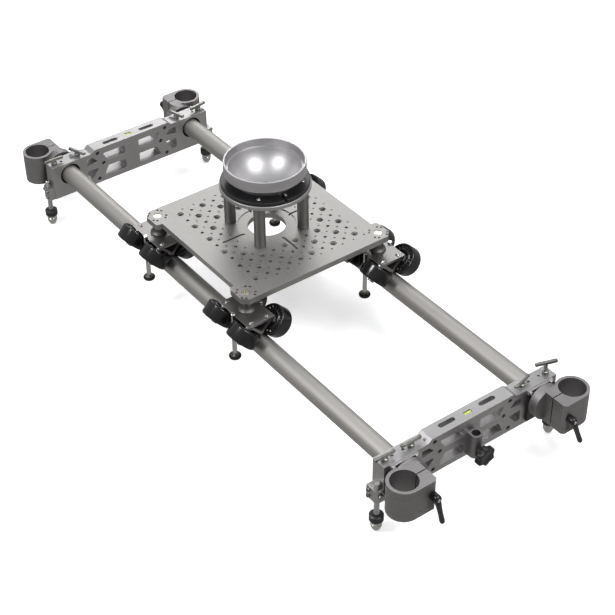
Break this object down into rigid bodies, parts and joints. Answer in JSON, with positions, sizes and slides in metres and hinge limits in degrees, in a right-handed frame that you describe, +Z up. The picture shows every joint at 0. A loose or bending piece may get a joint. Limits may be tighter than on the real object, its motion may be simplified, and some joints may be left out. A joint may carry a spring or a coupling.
{
  "type": "camera slider",
  "caption": "Camera slider with twin tubular rails, a wheeled carriage plate on keeper trucks, a raised levelling bowl, end frames with tube clamps and levelling feet.",
  "frame": {"origin": "on the floor, midway between the two end frames and between the rails", "axes": "+X along the rails towards the near end, +Y to the right across the rails, +Z up"},
  "size_m": [1.3296, 0.436, 0.357],
  "materials": {
    "rail_steel": "drawn and brushed along the tube, satin",
    "frame_aluminium": "milled, fine bead blasted, clear anodised",
    "plate_aluminium": "brushed, grey anodised",
    "clamp_cast": "cast and tumbled, dark grey",
    "bowl_aluminium": "turned, satin",
    "bright_steel": "zinc plated, worn",
    "dark_steel": "blackened, knurled grip, bright tip",
    "black_metal": "black anodised, satin",
    "black_plastic": "moulded, fine grain",
    "wheel_rubber": "cast polyurethane, satin",
    "brass": "turned",
    "vial_glass": "clear, yellow-green liquid"
  },
  "bodies": {
    "frame": {"rail_left": "rail_steel", "rail_right": "rail_steel", "end_frame_near": "frame_aluminium", "end_frame_far": "frame_aluminium", "level_vials": "vial_glass", "rail_jaws": "black_metal", "stop_bars": "bright_steel", "frame_screws": "bright_steel", "clamp_pads": "black_plastic", "clamp_rosettes": "clamp_cast", "foot_brackets": "frame_aluminium", "spigot_receivers": "clamp_cast"},
    "tube_clamp_near_left": {"tube_clamp_near_left": "clamp_cast"},
    "clamp_lever_near_left": {"clamp_lever_near_left": "black_plastic"},
    "levelling_foot_near_left": {"levelling_foot_near_left": "dark_steel"},
    "wing_screw_near_left_inner": {"wing_screw_near_left_inner": "bright_steel"},
    "wing_screw_near_left_outer": {"wing_screw_near_left_outer": "bright_steel"},
    "tube_clamp_near_right": {"tube_clamp_near_right": "clamp_cast"},
    "clamp_lever_near_right": {"clamp_lever_near_right": "black_plastic"},
    "levelling_foot_near_right": {"levelling_foot_near_right": "dark_steel"},
    "wing_screw_near_right_inner": {"wing_screw_near_right_inner": "bright_steel"},
    "wing_screw_near_right_outer": {"wing_screw_near_right_outer": "bright_steel"},
    "star_knob_near": {"star_knob_near": "black_plastic"},
    "tube_clamp_far_left": {"tube_clamp_far_left": "clamp_cast"},
    "clamp_lever_far_left": {"clamp_lever_far_left": "black_plastic"},
    "levelling_foot_far_left": {"levelling_foot_far_left": "dark_steel"},
    "wing_screw_far_left_inner": {"wing_screw_far_left_inner": "bright_steel"},
    "wing_screw_far_left_outer": {"wing_screw_far_left_outer": "bright_steel"},
    "tube_clamp_far_right": {"tube_clamp_far_right": "clamp_cast"},
    "clamp_lever_far_right": {"clamp_lever_far_right": "black_plastic"},
    "levelling_foot_far_right": {"levelling_foot_far_right": "dark_steel"},
    "wing_screw_far_right_inner": {"wing_screw_far_right_inner": "bright_steel"},
    "wing_screw_far_right_outer": {"wing_screw_far_right_outer": "bright_steel"},
    "star_knob_far": {"star_knob_far": "black_plastic"},
    "carriage": {"carriage_plate": "plate_aluminium", "truck_brackets": "frame_aluminium", "truck_pivots": "brass", "wheel_axles": "bright_steel", "wheel_bearings": "bright_steel", "keeper_posts": "black_metal", "riser_posts": "plate_aluminium", "riser_ring": "frame_aluminium", "bowl_clamp_ring": "black_metal", "levelling_bowl": "bowl_aluminium"},
    "wheel_near_left_a": {"wheel_near_left_a": "wheel_rubber"},
    "wheel_near_left_b": {"wheel_near_left_b": "wheel_rubber"},
    "wheel_near_left_c": {"wheel_near_left_c": "wheel_rubber"},
    "wheel_near_left_d": {"wheel_near_left_d": "wheel_rubber"},
    "wheel_near_right_a": {"wheel_near_right_a": "wheel_rubber"},
    "wheel_near_right_b": {"wheel_near_right_b": "wheel_rubber"},
    "wheel_near_right_c": {"wheel_near_right_c": "wheel_rubber"},
    "wheel_near_right_d": {"wheel_near_right_d": "wheel_rubber"},
    "wheel_far_left_a": {"wheel_far_left_a": "wheel_rubber"},
    "wheel_far_left_b": {"wheel_far_left_b": "wheel_rubber"},
    "wheel_far_left_c": {"wheel_far_left_c": "wheel_rubber"},
    "wheel_far_left_d": {"wheel_far_left_d": "wheel_rubber"},
    "wheel_far_right_a": {"wheel_far_right_a": "wheel_rubber"},
    "wheel_far_right_b": {"wheel_far_right_b": "wheel_rubber"},
    "wheel_far_right_c": {"wheel_far_right_c": "wheel_rubber"},
    "wheel_far_right_d": {"wheel_far_right_d": "wheel_rubber"}
  },
  "joints": [
    {"name": "carriage_travel", "type": "slide", "parent": "frame", "child": "carriage", "axis": [1, 0, 0], "range_m": [-0.281, 0.345]},
    {"name": "clamp_swivel_near_left", "type": "hinge", "parent": "frame", "child": "tube_clamp_near_left", "pos_m": [0.584, -0.1524, 0.1192], "axis": [1, 0, 0], "range_deg": [-90, 90]},
    {"name": "lever_turn_near_left", "type": "hinge", "parent": "tube_clamp_near_left", "child": "clamp_lever_near_left", "pos_m": [0.6455, -0.1524, 0.1222], "axis": [1, 0, 0], "range_deg": [-90, 90]},
    {"name": "foot_height_near_left", "type": "slide", "parent": "frame", "child": "levelling_foot_near_left", "axis": [0, 0, 1], "range_m": [-0.01, 0.011]},
    {"name": "wing_turn_near_left_inner", "type": "hinge", "parent": "frame", "child": "wing_screw_near_left_inner", "pos_m": [0.555, -0.1244, 0.1474], "axis": [0, 0, 1], "range_deg": [0, 450]},
    {"name": "wing_turn_near_left_outer", "type": "hinge", "parent": "frame", "child": "wing_screw_near_left_outer", "pos_m": [0.555, -0.1804, 0.1474], "axis": [0, 0, 1], "range_deg": [0, 450]},
    {"name": "clamp_swivel_near_right", "type": "hinge", "parent": "frame", "child": "tube_clamp_near_right", "pos_m": [0.584, 0.1524, 0.1192], "axis": [1, 0, 0], "range_deg": [-90, 90]},
    {"name": "lever_turn_near_right", "type": "hinge", "parent": "tube_clamp_near_right", "child": "clamp_lever_near_right", "pos_m": [0.6455, 0.1524, 0.1222], "axis": [1, 0, 0], "range_deg": [-90, 90]},
    {"name": "foot_height_near_right", "type": "slide", "parent": "frame", "child": "levelling_foot_near_right", "axis": [0, 0, 1], "range_m": [-0.01, 0.011]},
    {"name": "wing_turn_near_right_inner", "type": "hinge", "parent": "frame", "child": "wing_screw_near_right_inner", "pos_m": [0.555, 0.1244, 0.1474], "axis": [0, 0, 1], "range_deg": [0, 450]},
    {"name": "wing_turn_near_right_outer", "type": "hinge", "parent": "frame", "child": "wing_screw_near_right_outer", "pos_m": [0.555, 0.1804, 0.1474], "axis": [0, 0, 1], "range_deg": [0, 450]},
    {"name": "star_knob_turn_near", "type": "hinge", "parent": "frame", "child": "star_knob_near", "pos_m": [0.591, 0, 0.0892], "axis": [1, 0, 0], "range_deg": [0, 450]},
    {"name": "clamp_swivel_far_left", "type": "hinge", "parent": "frame", "child": "tube_clamp_far_left", "pos_m": [-0.584, -0.1524, 0.1192], "axis": [1, 0, 0], "range_deg": [-90, 90]},
    {"name": "lever_turn_far_left", "type": "hinge", "parent": "tube_clamp_far_left", "child": "clamp_lever_far_left", "pos_m": [-0.6455, -0.1524, 0.1222], "axis": [1, 0, 0], "range_deg": [-90, 90]},
    {"name": "foot_height_far_left", "type": "slide", "parent": "frame", "child": "levelling_foot_far_left", "axis": [0, 0, 1], "range_m": [-0.01, 0.011]},
    {"name": "wing_turn_far_left_inner", "type": "hinge", "parent": "frame", "child": "wing_screw_far_left_inner", "pos_m": [-0.555, -0.1244, 0.1474], "axis": [0, 0, 1], "range_deg": [0, 450]},
    {"name": "wing_turn_far_left_outer", "type": "hinge", "parent": "frame", "child": "wing_screw_far_left_outer", "pos_m": [-0.555, -0.1804, 0.1474], "axis": [0, 0, 1], "range_deg": [0, 450]},
    {"name": "clamp_swivel_far_right", "type": "hinge", "parent": "frame", "child": "tube_clamp_far_right", "pos_m": [-0.584, 0.1524, 0.1192], "axis": [1, 0, 0], "range_deg": [-90, 90]},
    {"name": "lever_turn_far_right", "type": "hinge", "parent": "tube_clamp_far_right", "child": "clamp_lever_far_right", "pos_m": [-0.6455, 0.1524, 0.1222], "axis": [1, 0, 0], "range_deg": [-90, 90]},
    {"name": "foot_height_far_right", "type": "slide", "parent": "frame", "child": "levelling_foot_far_right", "axis": [0, 0, 1], "range_m": [-0.01, 0.011]},
    {"name": "wing_turn_far_right_inner", "type": "hinge", "parent": "frame", "child": "wing_screw_far_right_inner", "pos_m": [-0.555, 0.1244, 0.1474], "axis": [0, 0, 1], "range_deg": [0, 450]},
    {"name": "wing_turn_far_right_outer", "type": "hinge", "parent": "frame", "child": "wing_screw_far_right_outer", "pos_m": [-0.555, 0.1804, 0.1474], "axis": [0, 0, 1], "range_deg": [0, 450]},
    {"name": "star_knob_turn_far", "type": "hinge", "parent": "frame", "child": "star_knob_far", "pos_m": [-0.591, 0, 0.0892], "axis": [-1, 0, 0], "range_deg": [0, 450]},
    {"name": "wheel_near_left_a_spin", "type": "hinge", "parent": "carriage", "child": "wheel_near_left_a", "pos_m": [0.1575, -0.18708, 0.15388], "axis": [0, -0.7071, -0.7071], "continuous": true},
    {"name": "wheel_near_left_b_spin", "type": "hinge", "parent": "carriage", "child": "wheel_near_left_b", "pos_m": [0.1575, -0.11772, 0.15388], "axis": [0, 0.7071, -0.7071], "continuous": true},
    {"name": "wheel_near_left_c_spin", "type": "hinge", "parent": "carriage", "child": "wheel_near_left_c", "pos_m": [0.0795, -0.18708, 0.15388], "axis": [0, -0.7071, -0.7071], "continuous": true},
    {"name": "wheel_near_left_d_spin", "type": "hinge", "parent": "carriage", "child": "wheel_near_left_d", "pos_m": [0.0795, -0.11772, 0.15388], "axis": [0, 0.7071, -0.7071], "continuous": true},
    {"name": "wheel_near_right_a_spin", "type": "hinge", "parent": "carriage", "child": "wheel_near_right_a", "pos_m": [0.1575, 0.11772, 0.15388], "axis": [0, -0.7071, -0.7071], "continuous": true},
    {"name": "wheel_near_right_b_spin", "type": "hinge", "parent": "carriage", "child": "wheel_near_right_b", "pos_m": [0.1575, 0.18708, 0.15388], "axis": [0, 0.7071, -0.7071], "continuous": true},
    {"name": "wheel_near_right_c_spin", "type": "hinge", "parent": "carriage", "child": "wheel_near_right_c", "pos_m": [0.0795, 0.11772, 0.15388], "axis": [0, -0.7071, -0.7071], "continuous": true},
    {"name": "wheel_near_right_d_spin", "type": "hinge", "parent": "carriage", "child": "wheel_near_right_d", "pos_m": [0.0795, 0.18708, 0.15388], "axis": [0, 0.7071, -0.7071], "continuous": true},
    {"name": "wheel_far_left_a_spin", "type": "hinge", "parent": "carriage", "child": "wheel_far_left_a", "pos_m": [-0.1435, -0.18708, 0.15388], "axis": [0, -0.7071, -0.7071], "continuous": true},
    {"name": "wheel_far_left_b_spin", "type": "hinge", "parent": "carriage", "child": "wheel_far_left_b", "pos_m": [-0.1435, -0.11772, 0.15388], "axis": [0, 0.7071, -0.7071], "continuous": true},
    {"name": "wheel_far_left_c_spin", "type": "hinge", "parent": "carriage", "child": "wheel_far_left_c", "pos_m": [-0.2215, -0.18708, 0.15388], "axis": [0, -0.7071, -0.7071], "continuous": true},
    {"name": "wheel_far_left_d_spin", "type": "hinge", "parent": "carriage", "child": "wheel_far_left_d", "pos_m": [-0.2215, -0.11772, 0.15388], "axis": [0, 0.7071, -0.7071], "continuous": true},
    {"name": "wheel_far_right_a_spin", "type": "hinge", "parent": "carriage", "child": "wheel_far_right_a", "pos_m": [-0.1435, 0.11772, 0.15388], "axis": [0, -0.7071, -0.7071], "continuous": true},
    {"name": "wheel_far_right_b_spin", "type": "hinge", "parent": "carriage", "child": "wheel_far_right_b", "pos_m": [-0.1435, 0.18708, 0.15388], "axis": [0, 0.7071, -0.7071], "continuous": true},
    {"name": "wheel_far_right_c_spin", "type": "hinge", "parent": "carriage", "child": "wheel_far_right_c", "pos_m": [-0.2215, 0.11772, 0.15388], "axis": [0, -0.7071, -0.7071], "continuous": true},
    {"name": "wheel_far_right_d_spin", "type": "hinge", "parent": "carriage", "child": "wheel_far_right_d", "pos_m": [-0.2215, 0.18708, 0.15388], "axis": [0, 0.7071, -0.7071], "continuous": true}
  ],
  "couplings": [
    {"joint": "wheel_near_left_a_spin", "follows": "carriage_travel", "rad_per_m": -33.333},
    {"joint": "wheel_near_left_b_spin", "follows": "carriage_travel", "rad_per_m": 33.333},
    {"joint": "wheel_near_left_c_spin", "follows": "carriage_travel", "rad_per_m": -33.333},
    {"joint": "wheel_near_left_d_spin", "follows": "carriage_travel", "rad_per_m": 33.333},
    {"joint": "wheel_near_right_a_spin", "follows": "carriage_travel", "rad_per_m": -33.333},
    {"joint": "wheel_near_right_b_spin", "follows": "carriage_travel", "rad_per_m": 33.333},
    {"joint": "wheel_near_right_c_spin", "follows": "carriage_travel", "rad_per_m": -33.333},
    {"joint": "wheel_near_right_d_spin", "follows": "carriage_travel", "rad_per_m": 33.333},
    {"joint": "wheel_far_left_a_spin", "follows": "carriage_travel", "rad_per_m": -33.333},
    {"joint": "wheel_far_left_b_spin", "follows": "carriage_travel", "rad_per_m": 33.333},
    {"joint": "wheel_far_left_c_spin", "follows": "carriage_travel", "rad_per_m": -33.333},
    {"joint": "wheel_far_left_d_spin", "follows": "carriage_travel", "rad_per_m": 33.333},
    {"joint": "wheel_far_right_a_spin", "follows": "carriage_travel", "rad_per_m": -33.333},
    {"joint": "wheel_far_right_b_spin", "follows": "carriage_travel", "rad_per_m": 33.333},
    {"joint": "wheel_far_right_c_spin", "follows": "carriage_travel", "rad_per_m": -33.333},
    {"joint": "wheel_far_right_d_spin", "follows": "carriage_travel", "rad_per_m": 33.333}
  ]
}
